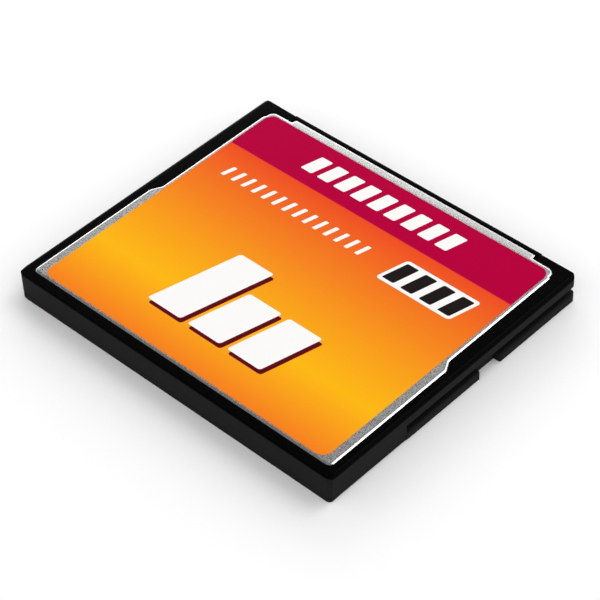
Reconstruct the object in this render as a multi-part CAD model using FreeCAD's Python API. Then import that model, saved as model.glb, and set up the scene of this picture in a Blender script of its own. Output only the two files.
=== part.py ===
import FreeCAD, Part
import math
import os

# Compact flash card of the thin kind, in millimetres.
# X runs across the card, +Y points at the connector edge and Z is up.
# The origin is the middle of the underside.

# Whole card
CARD_WIDTH = 42.8
CARD_LENGTH = 36.4
CARD_THICKNESS = 3.3

# Black moulded frame, in two halves
SIDE_EDGE_ROUND = 0.5
LOWER_SIDE_ROUND = 0.3
REAR_EDGE_ROUND = 0.25
LOWER_REAR_ROUND = 0.1
FRONT_EDGE_ROUND = 0.12
REAR_CORNER_ROUND = 0.75
FRONT_CORNER_ROUND = 0.8
PARTING_HEIGHT = 0.76
LOWER_HALF_INSET = 0.15
SIDE_WALL = 2.5
REAR_WALL = 2.2
WELD_TONGUE_WIDTH = 0.4
WELD_TONGUE_DEPTH = 0.2
WELD_TONGUE_FROM_CAVITY = 0.55
FRAME_FIT = 0.05

# Guide grooves along both sides, keyed by their different heights
GUIDE_LENGTH = 25.78
GUIDE_DEPTH = 0.85
RIGHT_RAIL_HEIGHT = 0.99
RIGHT_GROOVE_HEIGHT = 1.01
LEFT_GROOVE_HEIGHT = 1.39
RAIL_EDGE_ROUND = 0.15
RAIL_TOP_ROUND = 0.2
LIP_MOUTH_LENGTH = 0.5
LIP_MOUTH_FLARE = 0.2
RAIL_MOUTH_LENGTH = 0.25
RAIL_MOUTH_FLARE = 0.12
NOTCH_FROM_CONNECTOR_EDGE = 12.0
NOTCH_LENGTH = 3.0
NOTCH_END_CHAMFER = 0.18

# Pressed covers, one let into each half
COVER_THICKNESS = 0.2
COVER_RECESS = 0.1
COVER_RIM_WIDTH = 0.28
COVER_RIM_DROP = 0.13
COVER_CROWN_WIDTH = 0.12
COVER_CROWN_DROP = 0.035
COVER_FIT = 0.05
COVER_REAR_MARGIN = 1.27
COVER_SIDE_MARGIN = 1.13
COVER_GUIDE_MARGIN = 1.78
COVER_RAMP_START = 17.65
COVER_RAMP_LENGTH = 1.2
COVER_RAMP_ROUND = 0.8
COVER_REAR_CORNER = 0.6
COVER_NICK_START = 2.3
COVER_NICK_LENGTH = 0.2
COVER_NICK_DEPTH = 0.2
COVER_SHOULDER_MARGIN = 1.08
COVER_SHOULDER_ROUND = 0.9
COVER_FRONT_MARGIN = 0.49
COVER_TONGUE_MARGIN = 0.3
COVER_TONGUE_TAPER_WIDTH = 0.12

# Printed label on the top cover
LABEL_THICKNESS = 0.08
LABEL_SIDE_MARGIN = 2.25
LABEL_REAR_MARGIN = 1.65
LABEL_FRONT_MARGIN = 1.55
LABEL_CORNER = 1.1

# Socket block, as wide as the frame's guide zones leave it, with sockets in two rows
HOUSING_SIDE_MARGIN = 4.6
CONTACT_PITCH = 1.27
ROW_SPACING = 1.27
HOUSING_END_WALL = 1.56
HOUSING_DEPTH = 7.2
HOUSING_STAND_OUT = 0.1
SOCKET_WIDTH = 0.62
SOCKET_FUNNEL = 0.16
SOCKET_FUNNEL_DEPTH = 0.2
SOCKET_FACE_WALL = 0.9
CONTACT_BAY_HEIGHT = 0.9
EAR_LENGTH = 2.0
EAR_HEIGHT = 1.2
EAR_REACH = 1.1
EAR_FROM_REAR = 1.2
BOARD_ARM_WIDTH = 1.1
BOARD_ARM_REACH = 1.6
BOARD_ARM_HEIGHT = 0.7

# Spring contacts
CONTACT_WIDTH = 0.45
CONTACT_THICKNESS = 0.15
CONTACT_BASE_LENGTH = 1.3
CONTACT_CLEARANCE = 0.05
CONTACT_PINCH = 0.2
CONTACT_PINCH_FROM_TIP = 0.8
CONTACT_TIP_GAP = 0.4
CONTACT_TAIL_LENGTH = 1.7

# Circuit board
BOARD_THICKNESS = 0.4
BOARD_SIDE_GAP = 0.3
BOARD_REAR_GAP = 0.3
BOARD_FRONT_GAP = 0.15
BOARD_CORNER = 0.8
BOARD_PAD_LENGTH = 2.0
BOARD_PAD_REACH = 1.1
BOARD_PAD_COUNT = 3

# Chips
CHIP_STANDOFF = 0.05
CHIP_COVER_GAP = 0.1
CHIP_DRAFT_WIDTH = 0.09
FLASH_BODY_WIDTH = 12.0
FLASH_LEAD_MARGIN = 0.25
CONTROLLER_BODY_WIDTH = 10.0
CONTROLLER_LEAD_MARGIN = 1.25
LEAD_PITCH = 0.5
LEAD_WIDTH = 0.22
LEAD_THICKNESS = 0.13
LEAD_SHOULDER_LENGTH = 0.25
LEAD_FOOT_LENGTH = 0.45
CHIP_EDGE_GAP = 0.5
CHIP_REAR_GAP = 1.2
CHIP_FRONT_GAP = 0.24

# Small parts beside the chips
CRYSTAL_LENGTH = 3.2
CRYSTAL_WIDTH = 2.5
CRYSTAL_HEIGHT = 0.75
CRYSTAL_LID_INSET = 0.2
CRYSTAL_LID_HEIGHT = 0.15
REGULATOR_LENGTH = 2.9
REGULATOR_WIDTH = 1.6
REGULATOR_HEIGHT = 0.9
REGULATOR_LEAD_PITCH = 0.95
REGULATOR_LEAD_WIDTH = 0.35
REGULATOR_LEAD_COUNT = 3
BULK_CAPACITOR_LENGTH = 3.2
BULK_CAPACITOR_WIDTH = 1.6
BULK_CAPACITOR_HEIGHT = 0.95
CHIP_PART_LENGTH = 1.0
CHIP_PART_WIDTH = 0.5
CAPACITOR_HEIGHT = 0.5
RESISTOR_HEIGHT = 0.35
SMALL_PART_PITCH = 1.9
SMALL_CAPACITOR_COUNT = 6
RESISTOR_COUNT = 5
SMALL_PART_GAP = 0.6

# How deep a foot or a rib runs into what carries it, and how far a cutter reaches past a surface
ROOT_DEPTH = 0.1
CUT_REACH = 1.0

# Places that follow from the sizes above
HALF_WIDTH = CARD_WIDTH / 2
REAR_Y = -CARD_LENGTH / 2
FRONT_Y = CARD_LENGTH / 2
FRAME_FRONT_Y = FRONT_Y - HOUSING_STAND_OUT
MIDDLE_Z = CARD_THICKNESS / 2
CAVITY_HALF = HALF_WIDTH - SIDE_WALL
CAVITY_REAR_Y = REAR_Y + REAR_WALL
GUIDE_FLOOR_X = HALF_WIDTH - GUIDE_DEPTH
GUIDE_END_Y = FRONT_Y - GUIDE_LENGTH
LEFT_RAIL_HEIGHT = PARTING_HEIGHT
COVER_INNER_LOW = COVER_RECESS + COVER_THICKNESS
COVER_INNER_HIGH = CARD_THICKNESS - COVER_INNER_LOW
HOUSING_HALF = HALF_WIDTH - HOUSING_SIDE_MARGIN
CONTACT_STEPS = math.floor(2 * (HOUSING_HALF - HOUSING_END_WALL) / CONTACT_PITCH + 1e-6)
FIRST_CONTACT_X = -CONTACT_STEPS * CONTACT_PITCH / 2
HOUSING_REAR_Y = FRONT_Y - HOUSING_DEPTH
BAY_HALF = HOUSING_HALF + FRAME_FIT
EAR_REAR_Y = HOUSING_REAR_Y + EAR_FROM_REAR
EAR_LOW = MIDDLE_Z - EAR_HEIGHT / 2
EAR_HIGH = MIDDLE_Z + EAR_HEIGHT / 2
BOARD_TOP = MIDDLE_Z + BOARD_THICKNESS / 2
BOARD_BOTTOM = MIDDLE_Z - BOARD_THICKNESS / 2
BOARD_HALF = CAVITY_HALF - BOARD_SIDE_GAP
BOARD_REAR_Y = CAVITY_REAR_Y + BOARD_REAR_GAP
BOARD_FRONT_Y = HOUSING_REAR_Y - BOARD_FRONT_GAP
PAD_INNER_X = CAVITY_HALF - BOARD_PAD_REACH
CHIP_ZONE_HALF = PAD_INNER_X - CHIP_EDGE_GAP
CHIP_BODY_LOW = CHIP_STANDOFF
CHIP_BODY_HIGH = COVER_INNER_HIGH - BOARD_TOP - CHIP_COVER_GAP
LEAD_REACH = LEAD_SHOULDER_LENGTH + LEAD_THICKNESS + LEAD_FOOT_LENGTH
SMALL_PART_ROW_Y = HOUSING_REAR_Y - CONTACT_TAIL_LENGTH - SMALL_PART_GAP - REGULATOR_LENGTH / 2
SMALL_PART_REAR_Y = SMALL_PART_ROW_Y - REGULATOR_LENGTH / 2
FLASH_REAR_Y = BOARD_REAR_Y + CHIP_REAR_GAP + LEAD_REACH
FLASH_FRONT_Y = SMALL_PART_REAR_Y - CHIP_FRONT_GAP - LEAD_REACH
FLASH_BODY_LENGTH = FLASH_FRONT_Y - FLASH_REAR_Y
FLASH_X = CHIP_ZONE_HALF - FLASH_BODY_WIDTH / 2
FLASH_Y = (FLASH_REAR_Y + FLASH_FRONT_Y) / 2
CONTROLLER_X = -CHIP_ZONE_HALF + LEAD_REACH + CONTROLLER_BODY_WIDTH / 2
CONTROLLER_Y = SMALL_PART_REAR_Y - SMALL_PART_GAP - LEAD_REACH - CONTROLLER_BODY_WIDTH / 2


def on_plan(a, b):
    return FreeCAD.Vector(a, b, 0)


def on_front_section(a, b):
    return FreeCAD.Vector(a, 0, b)


def on_side_section(a, b):
    return FreeCAD.Vector(0, a, b)


def corner_arc(before, corner, after, radius):
    """Start, middle and end of the arc that rounds one corner of an outline."""
    back = (before - corner).normalize()
    ahead = (after - corner).normalize()
    half_angle = back.getAngle(ahead) / 2
    reach = radius / math.tan(half_angle)
    inward = (back + ahead).normalize()
    middle = corner + inward * (radius / math.sin(half_angle) - radius)
    return corner + back * reach, middle, corner + ahead * reach


def outline_face(corners, plane):
    """Flat face from (a, b) or (a, b, radius) corners, each arc tangent to its two sides."""
    points = [plane(corner[0], corner[1]) for corner in corners]
    edges = []
    ends = []
    for i, corner in enumerate(corners):
        radius = corner[2] if len(corner) > 2 else 0
        if radius > 0:
            after = points[(i + 1) % len(points)]
            start, middle, end = corner_arc(points[i - 1], points[i], after, radius)
            edges.append(Part.Arc(start, middle, end).toShape())
            ends.append((start, end))
        else:
            ends.append((points[i], points[i]))
    for i in range(len(ends)):
        start = ends[i - 1][1]
        end = ends[i][0]
        if (end - start).Length > 1e-6:
            edges.append(Part.makeLine(start, end))
    return Part.Face(Part.Wire(Part.sortEdges(edges)[0]))


def plan_prism(corners, low, high):
    face = outline_face(corners, on_plan)
    face.translate(FreeCAD.Vector(0, 0, low))
    return face.extrude(FreeCAD.Vector(0, 0, high - low))


def lengthwise_prism(corners, y_start, y_end):
    """A cross-section in X and Z, drawn out along Y."""
    face = outline_face(corners, on_front_section)
    face.translate(FreeCAD.Vector(0, y_start, 0))
    return face.extrude(FreeCAD.Vector(0, y_end - y_start, 0))


def crosswise_prism(corners, x_start, x_end):
    """A side view in Y and Z, drawn out along X."""
    face = outline_face(corners, on_side_section)
    face.translate(FreeCAD.Vector(x_start, 0, 0))
    return face.extrude(FreeCAD.Vector(x_end - x_start, 0, 0))


def block(x_range, y_range, z_range):
    x_low, x_high = sorted(x_range)
    y_low, y_high = sorted(y_range)
    z_low, z_high = sorted(z_range)
    corner = FreeCAD.Vector(x_low, y_low, z_low)
    return Part.makeBox(x_high - x_low, y_high - y_low, z_high - z_low, corner)


def both_sides(shape):
    """The shape and its mirror image across the middle plane of the card."""
    mirrored = shape.mirror(FreeCAD.Vector(0, 0, 0), FreeCAD.Vector(1, 0, 0))
    return [shape, mirrored]


def upside_down(shape):
    """The shape turned over the middle plane of the thickness."""
    return shape.mirror(FreeCAD.Vector(0, 0, MIDDLE_Z), FreeCAD.Vector(0, 0, 1))


def joined(shapes):
    return shapes[0].multiFuse(shapes[1:]).removeSplitter()


def cover_outline(grow):
    """Cover's outline, grown all round: the right half from rear to front, then its mirror image."""
    side = HALF_WIDTH - COVER_SIDE_MARGIN + grow
    guide = HALF_WIDTH - COVER_GUIDE_MARGIN + grow
    shoulder = FRONT_Y - COVER_SHOULDER_MARGIN + grow
    ramp = REAR_Y + COVER_RAMP_START
    nick = FRONT_Y - COVER_NICK_START
    tongue = HOUSING_HALF - COVER_TONGUE_MARGIN + grow
    right = [
        (side, REAR_Y + COVER_REAR_MARGIN - grow, COVER_REAR_CORNER + grow),
        (side, ramp, COVER_RAMP_ROUND + grow),
        (guide, ramp + COVER_RAMP_LENGTH, COVER_RAMP_ROUND - grow),
        (guide, nick),
        (guide - COVER_NICK_DEPTH, nick + COVER_NICK_LENGTH),
        (guide - COVER_NICK_DEPTH, shoulder, COVER_SHOULDER_ROUND + grow),
        (tongue, shoulder),
        (tongue - COVER_TONGUE_TAPER_WIDTH, FRONT_Y - COVER_FRONT_MARGIN + grow),
    ]
    left = [(-corner[0],) + corner[1:] for corner in reversed(right)]
    return right + left


def outline_wire(corners, height):
    wire = outline_face(corners, on_plan).OuterWire
    wire.translate(FreeCAD.Vector(0, 0, height))
    return wire


def cover_plate():
    """Top cover: a flat plate whose rim falls ever steeper to where it meets the frame."""
    top = CARD_THICKNESS - COVER_RECESS
    levels = [
        (0, top - COVER_THICKNESS),
        (0, top - COVER_RIM_DROP),
        (-COVER_CROWN_WIDTH, top - COVER_CROWN_DROP),
        (-COVER_RIM_WIDTH, top),
    ]
    wires = [outline_wire(cover_outline(grow), height) for grow, height in levels]
    slices = [Part.makeLoft(wires[i:i + 2], True, True) for i in range(len(wires) - 1)]
    return joined(slices)


def cover_pocket():
    return plan_prism(cover_outline(COVER_FIT), COVER_INNER_HIGH, CARD_THICKNESS + CUT_REACH)


def frame_plan(inset, low, high):
    side = HALF_WIDTH - inset
    corners = [
        (side, REAR_Y, REAR_CORNER_ROUND),
        (side, FRAME_FRONT_Y, FRONT_CORNER_ROUND),
        (-side, FRAME_FRONT_Y, FRONT_CORNER_ROUND),
        (-side, REAR_Y, REAR_CORNER_ROUND),
    ]
    return plan_prism(corners, low, high)


def top_half_body():
    section = [
        (-HALF_WIDTH, PARTING_HEIGHT),
        (HALF_WIDTH, PARTING_HEIGHT),
        (HALF_WIDTH, CARD_THICKNESS, SIDE_EDGE_ROUND),
        (-HALF_WIDTH, CARD_THICKNESS, SIDE_EDGE_ROUND),
    ]
    side_view = [
        (REAR_Y, PARTING_HEIGHT),
        (FRAME_FRONT_Y, PARTING_HEIGHT),
        (FRAME_FRONT_Y, CARD_THICKNESS, FRONT_EDGE_ROUND),
        (REAR_Y, CARD_THICKNESS, REAR_EDGE_ROUND),
    ]
    body = lengthwise_prism(section, REAR_Y, FRAME_FRONT_Y)
    body = body.common(crosswise_prism(side_view, -HALF_WIDTH, HALF_WIDTH))
    return body.common(frame_plan(0, PARTING_HEIGHT, CARD_THICKNESS))


def lower_section(inset, edge_round):
    side = HALF_WIDTH - inset
    return [
        (-side, 0, edge_round),
        (side, 0, edge_round),
        (side, PARTING_HEIGHT),
        (-side, PARTING_HEIGHT),
    ]


def bottom_half_body():
    """The lower half is a little narrower than the upper one, except along the guide rails."""
    side_view = [
        (REAR_Y, 0, LOWER_REAR_ROUND),
        (FRAME_FRONT_Y, 0, FRONT_EDGE_ROUND),
        (FRAME_FRONT_Y, PARTING_HEIGHT),
        (REAR_Y, PARTING_HEIGHT),
    ]
    rear = lengthwise_prism(lower_section(LOWER_HALF_INSET, LOWER_SIDE_ROUND), REAR_Y, GUIDE_END_Y)
    rear = rear.common(frame_plan(LOWER_HALF_INSET, 0, PARTING_HEIGHT))
    front = lengthwise_prism(lower_section(0, RAIL_EDGE_ROUND), GUIDE_END_Y, FRAME_FRONT_Y)
    front = front.common(frame_plan(0, 0, PARTING_HEIGHT))
    body = joined([rear, front])
    return body.common(crosswise_prism(side_view, -HALF_WIDTH, HALF_WIDTH))


def frame_opening():
    """The space inside the frame: the board's cavity and the bay of the socket block."""
    low, high = -CUT_REACH, CARD_THICKNESS + CUT_REACH
    cavity = block((-CAVITY_HALF, CAVITY_HALF), (CAVITY_REAR_Y, HOUSING_REAR_Y), (low, high))
    bay = block((-BAY_HALF, BAY_HALF), (HOUSING_REAR_Y - CUT_REACH, FRONT_Y + CUT_REACH), (low, high))
    return cavity.fuse(bay)


def weld_tongue(fit):
    """Low rib round three sides of the seam, and with a fit the channel that takes it."""
    inner = CAVITY_HALF + WELD_TONGUE_FROM_CAVITY - fit
    outer = CAVITY_HALF + WELD_TONGUE_FROM_CAVITY + WELD_TONGUE_WIDTH + fit
    inner_rear = CAVITY_REAR_Y - WELD_TONGUE_FROM_CAVITY + fit
    outer_rear = inner_rear - WELD_TONGUE_WIDTH - 2 * fit
    front = EAR_REAR_Y + EAR_LENGTH + fit
    low = PARTING_HEIGHT - WELD_TONGUE_DEPTH - fit
    whole = block((-outer, outer), (outer_rear, front), (low, PARTING_HEIGHT))
    past = (low - CUT_REACH, PARTING_HEIGHT + CUT_REACH)
    return whole.cut(block((-inner, inner), (inner_rear, front + CUT_REACH), past))


def pad_places():
    """Y of each board pad, spread from the rear of the board to just behind the contacts."""
    first = BOARD_REAR_Y + BOARD_CORNER + BOARD_PAD_LENGTH / 2
    last = BOARD_FRONT_Y - BOARD_CORNER - BOARD_PAD_LENGTH / 2
    step = (last - first) / (BOARD_PAD_COUNT - 1)
    return [first + i * step for i in range(BOARD_PAD_COUNT)]


def upper_pads():
    pads = []
    for y in pad_places():
        y_range = (y - BOARD_PAD_LENGTH / 2, y + BOARD_PAD_LENGTH / 2)
        pad = block((PAD_INNER_X, CAVITY_HALF + ROOT_DEPTH), y_range, (BOARD_TOP, COVER_INNER_HIGH))
        pads += both_sides(pad)
    return pads


def lower_pads():
    pads = []
    for y in pad_places():
        y_range = (y - BOARD_PAD_LENGTH / 2, y + BOARD_PAD_LENGTH / 2)
        tip_x = CAVITY_HALF - FRAME_FIT
        tip = block((PAD_INNER_X, tip_x), y_range, (COVER_INNER_LOW, BOARD_BOTTOM))
        root = block((tip_x, CAVITY_HALF + ROOT_DEPTH), y_range, (COVER_INNER_LOW, PARTING_HEIGHT))
        pads += both_sides(tip.fuse(root))
    return pads


def groove_cut(side, top):
    """Removes the upper half from a guide groove and from the rail below it."""
    x_range = (side * GUIDE_FLOOR_X, side * (HALF_WIDTH + CUT_REACH))
    groove = block(x_range, (GUIDE_END_Y, FRONT_Y), (0, top))
    mouth = [
        (FRAME_FRONT_Y - LIP_MOUTH_LENGTH, top),
        (FRONT_Y, top),
        (FRONT_Y, top + LIP_MOUTH_FLARE),
        (FRAME_FRONT_Y, top + LIP_MOUTH_FLARE),
    ]
    return groove.fuse(crosswise_prism(mouth, min(x_range), max(x_range)))


def ear_slot(side):
    """Slot in the upper half for one ear of the socket block, open towards the seam."""
    x_range = (side * (BAY_HALF - CUT_REACH), side * (HOUSING_HALF + EAR_REACH + FRAME_FIT))
    y_range = (EAR_REAR_Y - FRAME_FIT, EAR_REAR_Y + EAR_LENGTH + FRAME_FIT)
    return block(x_range, y_range, (0, EAR_HIGH + FRAME_FIT))


def top_frame():
    body = top_half_body()
    openings = [frame_opening(), cover_pocket(), ear_slot(-1), ear_slot(1)]
    openings.append(groove_cut(1, RIGHT_RAIL_HEIGHT + RIGHT_GROOVE_HEIGHT))
    openings.append(groove_cut(-1, LEFT_RAIL_HEIGHT + LEFT_GROOVE_HEIGHT))
    body = body.cut(openings)
    return joined([body, weld_tongue(0)] + upper_pads())


def latch_notch(side):
    """Gap through one guide rail, with chamfered ends."""
    front = FRONT_Y - NOTCH_FROM_CONNECTOR_EDGE
    rear = front - NOTCH_LENGTH
    floor = side * GUIDE_FLOOR_X
    edge = side * HALF_WIDTH
    past = side * (HALF_WIDTH + NOTCH_END_CHAMFER)
    corners = [
        (floor, rear),
        (edge - side * NOTCH_END_CHAMFER, rear),
        (past, rear - 2 * NOTCH_END_CHAMFER),
        (past, front + 2 * NOTCH_END_CHAMFER),
        (edge - side * NOTCH_END_CHAMFER, front),
        (floor, front),
    ]
    return plan_prism(corners, -CUT_REACH, RIGHT_RAIL_HEIGHT + CUT_REACH)


def rail_mouth_cut(side, top):
    """Slope at the connector end of a guide rail, the lower half of the groove's mouth."""
    corners = [
        (FRAME_FRONT_Y - RAIL_MOUTH_LENGTH, top),
        (FRAME_FRONT_Y, top - RAIL_MOUTH_FLARE),
        (FRONT_Y, top - RAIL_MOUTH_FLARE),
        (FRONT_Y, top),
    ]
    x_range = sorted((side * GUIDE_FLOOR_X, side * (HALF_WIDTH + CUT_REACH)))
    return crosswise_prism(corners, x_range[0], x_range[1])


def right_rail_crest():
    """The part of the right guide rail that stands above the seam, its outer edge rounded."""
    section = [
        (GUIDE_FLOOR_X, PARTING_HEIGHT - ROOT_DEPTH),
        (HALF_WIDTH, PARTING_HEIGHT - ROOT_DEPTH),
        (HALF_WIDTH, RIGHT_RAIL_HEIGHT, RAIL_TOP_ROUND),
        (GUIDE_FLOOR_X, RIGHT_RAIL_HEIGHT),
    ]
    crest = lengthwise_prism(section, GUIDE_END_Y, FRAME_FRONT_Y)
    return crest.common(frame_plan(0, 0, CARD_THICKNESS))


def ear_posts():
    """Posts that carry the ears of the socket block."""
    x_range = (BAY_HALF, HOUSING_HALF + EAR_REACH)
    y_range = (EAR_REAR_Y, EAR_REAR_Y + EAR_LENGTH)
    return both_sides(block(x_range, y_range, (PARTING_HEIGHT - ROOT_DEPTH, EAR_LOW)))


def bottom_frame():
    body = joined([bottom_half_body(), right_rail_crest()])
    cuts = [frame_opening(), upside_down(cover_pocket()), weld_tongue(FRAME_FIT)]
    cuts += [latch_notch(1), latch_notch(-1)]
    cuts += [rail_mouth_cut(1, RIGHT_RAIL_HEIGHT), rail_mouth_cut(-1, LEFT_RAIL_HEIGHT)]
    body = body.cut(cuts)
    return joined([body] + lower_pads() + ear_posts())


def front_label():
    rear = REAR_Y + LABEL_REAR_MARGIN
    front = FRONT_Y - LABEL_FRONT_MARGIN
    half = HALF_WIDTH - LABEL_SIDE_MARGIN
    corners = [
        (half, rear, LABEL_CORNER),
        (half, front, LABEL_CORNER),
        (-half, front, LABEL_CORNER),
        (-half, rear, LABEL_CORNER),
    ]
    low = CARD_THICKNESS - COVER_RECESS
    return plan_prism(corners, low, low + LABEL_THICKNESS)


def contact_x_places():
    return [FIRST_CONTACT_X + i * CONTACT_PITCH for i in range(CONTACT_STEPS + 1)]


def socket_hole(x, z):
    """One socket: a funnel in the face, a square hole, and the contact's taller bay behind it."""
    wide = SOCKET_WIDTH / 2 + SOCKET_FUNNEL
    tight = SOCKET_WIDTH / 2
    funnel_end = FRONT_Y - SOCKET_FUNNEL_DEPTH
    funnel = Part.makeWedge(x - tight, funnel_end, z - tight, z - wide, x - wide,
                            x + tight, FRONT_Y, z + tight, z + wide, x + wide)
    bay_end = FRONT_Y - SOCKET_FACE_WALL
    hole = block((x - tight, x + tight), (bay_end, funnel_end), (z - tight, z + tight))
    bay_z = (z - CONTACT_BAY_HEIGHT / 2, z + CONTACT_BAY_HEIGHT / 2)
    bay = block((x - tight, x + tight), (HOUSING_REAR_Y, bay_end), bay_z)
    return joined([funnel, hole, bay])


def connector_housing():
    side_view = [
        (HOUSING_REAR_Y, COVER_INNER_LOW),
        (FRONT_Y - COVER_FRONT_MARGIN + COVER_FIT, COVER_INNER_LOW),
        (FRONT_Y - COVER_FRONT_MARGIN + COVER_FIT, 0),
        (FRONT_Y, 0, FRONT_EDGE_ROUND),
        (FRONT_Y, CARD_THICKNESS, FRONT_EDGE_ROUND),
        (FRONT_Y - COVER_FRONT_MARGIN + COVER_FIT, CARD_THICKNESS),
        (FRONT_Y - COVER_FRONT_MARGIN + COVER_FIT, COVER_INNER_HIGH),
        (HOUSING_REAR_Y, COVER_INNER_HIGH),
    ]
    body = crosswise_prism(side_view, -HOUSING_HALF, HOUSING_HALF)
    ear_x = (HOUSING_HALF - ROOT_DEPTH, HOUSING_HALF + EAR_REACH)
    ear = block(ear_x, (EAR_REAR_Y, EAR_REAR_Y + EAR_LENGTH), (EAR_LOW, EAR_HIGH))
    arm_x = (HOUSING_HALF - BOARD_ARM_WIDTH, HOUSING_HALF)
    arm_y = (HOUSING_REAR_Y - BOARD_ARM_REACH, HOUSING_REAR_Y + ROOT_DEPTH)
    arm = block(arm_x, arm_y, (BOARD_BOTTOM - BOARD_ARM_HEIGHT, BOARD_BOTTOM))
    body = joined([body] + both_sides(ear) + both_sides(arm))
    rows = (MIDDLE_Z - ROW_SPACING / 2, MIDDLE_Z + ROW_SPACING / 2)
    holes = [socket_hole(x, z) for z in rows for x in contact_x_places()]
    return body.cut(holes)


def contact_profile():
    """Side view of an upper contact: two sprung tines, a base and a tail on the board."""
    middle = MIDDLE_Z + ROW_SPACING / 2
    reach = CONTACT_BAY_HEIGHT / 2 - CONTACT_CLEARANCE
    rear = HOUSING_REAR_Y
    base = rear + CONTACT_BASE_LENGTH
    tip = FRONT_Y - SOCKET_FACE_WALL - CONTACT_CLEARANCE
    pinch = tip - CONTACT_PINCH_FROM_TIP
    slot_half = reach - CONTACT_THICKNESS
    pinch_half = CONTACT_PINCH
    tip_half = CONTACT_TIP_GAP / 2
    upper = [
        (rear, middle + reach),
        (base, middle + reach),
        (pinch, middle + pinch_half + CONTACT_THICKNESS),
        (tip, middle + tip_half + CONTACT_THICKNESS),
        (tip, middle + tip_half),
        (pinch, middle + pinch_half),
        (base, middle + slot_half),
    ]
    lower = [(y, 2 * middle - z) for y, z in reversed(upper[1:])]
    tail_end = rear - CONTACT_TAIL_LENGTH
    tail = [
        (rear, middle - reach),
        (BOARD_FRONT_Y, BOARD_TOP),
        (tail_end, BOARD_TOP),
        (tail_end, BOARD_TOP + CONTACT_THICKNESS),
        (BOARD_FRONT_Y, BOARD_TOP + CONTACT_THICKNESS),
        (rear, middle - reach + CONTACT_THICKNESS),
    ]
    return upper + lower + tail


def upper_contacts():
    contact = crosswise_prism(contact_profile(), -CONTACT_WIDTH / 2, CONTACT_WIDTH / 2)
    contacts = []
    for x in contact_x_places():
        copy = contact.copy()
        copy.translate(FreeCAD.Vector(x, 0, 0))
        contacts.append(copy)
    return Part.makeCompound(contacts)


def circuit_board():
    corners = [
        (BOARD_HALF, BOARD_REAR_Y, BOARD_CORNER),
        (BOARD_HALF, BOARD_FRONT_Y, BOARD_CORNER),
        (-BOARD_HALF, BOARD_FRONT_Y, BOARD_CORNER),
        (-BOARD_HALF, BOARD_REAR_Y, BOARD_CORNER),
    ]
    return plan_prism(corners, BOARD_BOTTOM, BOARD_TOP)


def lead_level():
    return BOARD_TOP + (CHIP_BODY_LOW + CHIP_BODY_HIGH) / 2


def chip_body(x, y, width, length):
    """Moulded package above the board, drafted both ways from the plane of its leads."""
    halves = []
    x_low, x_high = x - width / 2, x + width / 2
    y_low, y_high = y - length / 2, y + length / 2
    for z in (BOARD_TOP + CHIP_BODY_LOW, BOARD_TOP + CHIP_BODY_HIGH):
        wide = Part.makePolygon([
            FreeCAD.Vector(x_low, y_low, lead_level()), FreeCAD.Vector(x_high, y_low, lead_level()),
            FreeCAD.Vector(x_high, y_high, lead_level()), FreeCAD.Vector(x_low, y_high, lead_level()),
            FreeCAD.Vector(x_low, y_low, lead_level())])
        d = CHIP_DRAFT_WIDTH
        narrow = Part.makePolygon([
            FreeCAD.Vector(x_low + d, y_low + d, z), FreeCAD.Vector(x_high - d, y_low + d, z),
            FreeCAD.Vector(x_high - d, y_high - d, z), FreeCAD.Vector(x_low + d, y_high - d, z),
            FreeCAD.Vector(x_low + d, y_low + d, z)])
        halves.append(Part.makeLoft([wide, narrow], True, True))
    return joined(halves)


def gull_lead(level, width):
    """One lead that leaves a package at a level and bends down to a foot, along +Y from 0."""
    low = level - LEAD_THICKNESS / 2
    high = level + LEAD_THICKNESS / 2
    knee = LEAD_SHOULDER_LENGTH + LEAD_THICKNESS
    profile = [
        (0, low),
        (LEAD_SHOULDER_LENGTH, low),
        (LEAD_SHOULDER_LENGTH, BOARD_TOP),
        (LEAD_REACH, BOARD_TOP),
        (LEAD_REACH, BOARD_TOP + LEAD_THICKNESS),
        (knee, BOARD_TOP + LEAD_THICKNESS),
        (knee, high),
        (0, high),
    ]
    return crosswise_prism(profile, -width / 2, width / 2)


def leads_along(edge_length, margin):
    """How many leads an edge takes at the lead pitch between its two margins."""
    return math.floor((edge_length - 2 * margin) / LEAD_PITCH + 1e-6) + 1


def lead_row(lead, count, pitch, x, y, distance, turn):
    """Leads side by side at one edge of a package whose middle is x, y."""
    row = []
    for i in range(count):
        copy = lead.copy()
        copy.translate(FreeCAD.Vector((i - (count - 1) / 2) * pitch, distance, 0))
        copy.rotate(FreeCAD.Vector(0, 0, 0), FreeCAD.Vector(0, 0, 1), turn)
        copy.translate(FreeCAD.Vector(x, y, 0))
        row.append(copy)
    return row


def controller_chip():
    return chip_body(CONTROLLER_X, CONTROLLER_Y, CONTROLLER_BODY_WIDTH, CONTROLLER_BODY_WIDTH)


def controller_leads():
    lead = gull_lead(lead_level(), LEAD_WIDTH)
    count = leads_along(CONTROLLER_BODY_WIDTH, CONTROLLER_LEAD_MARGIN)
    leads = []
    for turn in (0, 90, 180, 270):
        leads += lead_row(lead, count, LEAD_PITCH,
                          CONTROLLER_X, CONTROLLER_Y, CONTROLLER_BODY_WIDTH / 2, turn)
    return Part.makeCompound(leads)


def upper_flash_chip():
    return chip_body(FLASH_X, FLASH_Y, FLASH_BODY_WIDTH, FLASH_BODY_LENGTH)


def upper_flash_leads():
    lead = gull_lead(lead_level(), LEAD_WIDTH)
    count = leads_along(FLASH_BODY_WIDTH, FLASH_LEAD_MARGIN)
    leads = []
    for turn in (0, 180):
        leads += lead_row(lead, count, LEAD_PITCH, FLASH_X, FLASH_Y, FLASH_BODY_LENGTH / 2, turn)
    return Part.makeCompound(leads)


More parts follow.
